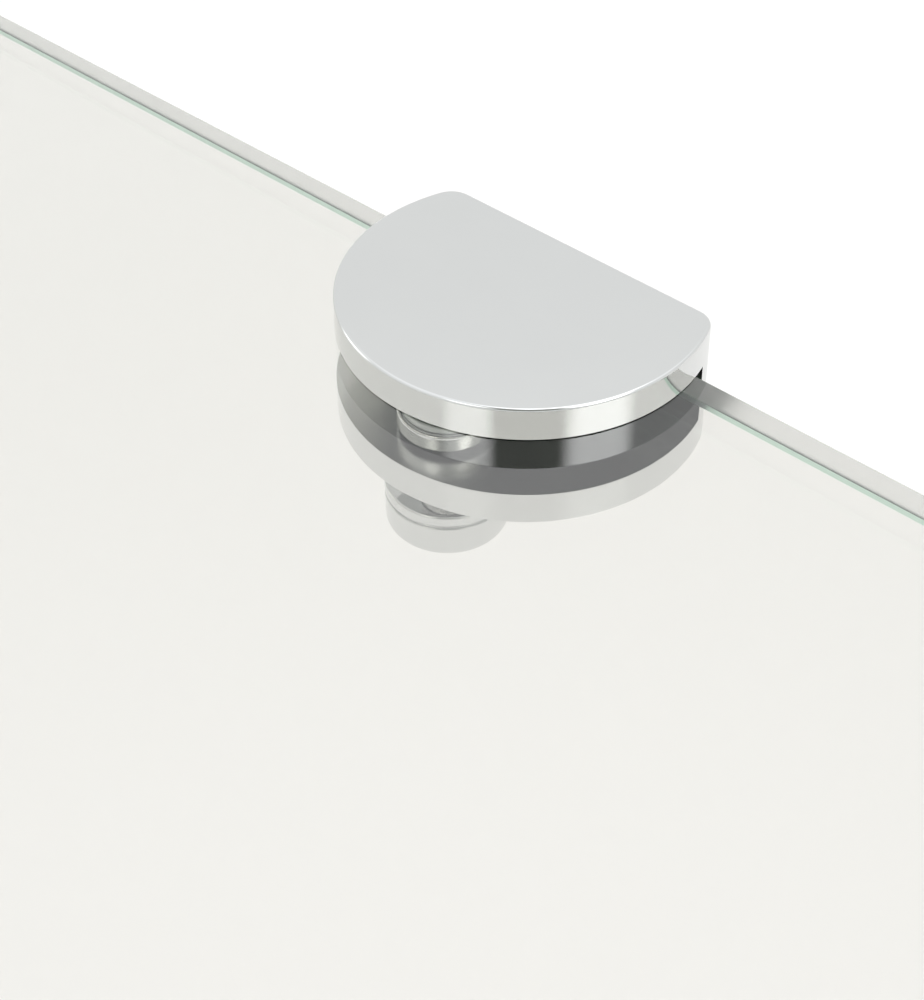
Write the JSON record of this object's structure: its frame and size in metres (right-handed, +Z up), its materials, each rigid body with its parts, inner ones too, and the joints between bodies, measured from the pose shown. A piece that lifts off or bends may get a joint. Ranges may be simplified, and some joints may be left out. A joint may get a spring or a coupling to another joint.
{
  "type": "glass wall shelf with clamp brackets",
  "caption": "Clear glass wall shelf held at its rear edge by chrome D-shaped clamp brackets, each with a thumb screw that presses a round foot up against the glass.",
  "frame": {"origin": "on the wall plane, midway between the two brackets, level with the axes of their screw holes", "axes": "+X along the shelf to the right as seen facing the wall, +Y into the wall, +Z up; the shelf stands out along -Y"},
  "size_m": [0.45, 0.155, 0.0301],
  "materials": {
    "clear_glass": "polished clear float glass with a faint green body",
    "chrome": "polished chrome plate",
    "soft_pad": "satin translucent elastomer",
    "dark_pad": "satin dark grey rubber",
    "steel": "zinc-plated, lightly satin"
  },
  "bodies": {
    "wall_brackets": {"bracket_casting_left": "chrome", "jaw_pad_left": "dark_pad", "edge_buffer_west_left": "dark_pad", "edge_buffer_east_left": "dark_pad", "bracket_casting_right": "chrome", "jaw_pad_right": "dark_pad", "edge_buffer_west_right": "dark_pad", "edge_buffer_east_right": "dark_pad"},
    "glass_panel": {"glass_panel": "clear_glass"},
    "pressure_foot_left": {"pressure_disc_left": "chrome", "pressure_pad_left": "soft_pad"},
    "clamp_screw_left": {"clamp_knob_left": "chrome", "clamp_stud_left": "steel"},
    "pressure_foot_right": {"pressure_disc_right": "chrome", "pressure_pad_right": "soft_pad"},
    "clamp_screw_right": {"clamp_knob_right": "chrome", "clamp_stud_right": "steel"}
  },
  "joints": [
    {"name": "glass_draw", "type": "slide", "parent": "wall_brackets", "child": "glass_panel", "axis": [0, -1, 0], "range_m": [0, 0.025]},
    {"name": "foot_lift_left", "type": "slide", "parent": "wall_brackets", "child": "pressure_foot_left", "axis": [0, 0, 1], "range_m": [-0.0007, 0]},
    {"name": "clamp_turn_left", "type": "hinge", "parent": "pressure_foot_left", "child": "clamp_screw_left", "pos_m": [-0.115, -0.0235, -0.0165], "axis": [0, 0, 1], "range_deg": [-250, 0]},
    {"name": "foot_lift_right", "type": "slide", "parent": "wall_brackets", "child": "pressure_foot_right", "axis": [0, 0, 1], "range_m": [-0.0007, 0]},
    {"name": "clamp_turn_right", "type": "hinge", "parent": "pressure_foot_right", "child": "clamp_screw_right", "pos_m": [0.115, -0.0235, -0.0165], "axis": [0, 0, 1], "range_deg": [-250, 0]}
  ],
  "couplings": [
    {"joint": "foot_lift_left", "follows": "clamp_turn_left", "m_per_rad": 0.00015915},
    {"joint": "foot_lift_right", "follows": "clamp_turn_right", "m_per_rad": 0.00015915}
  ]
}
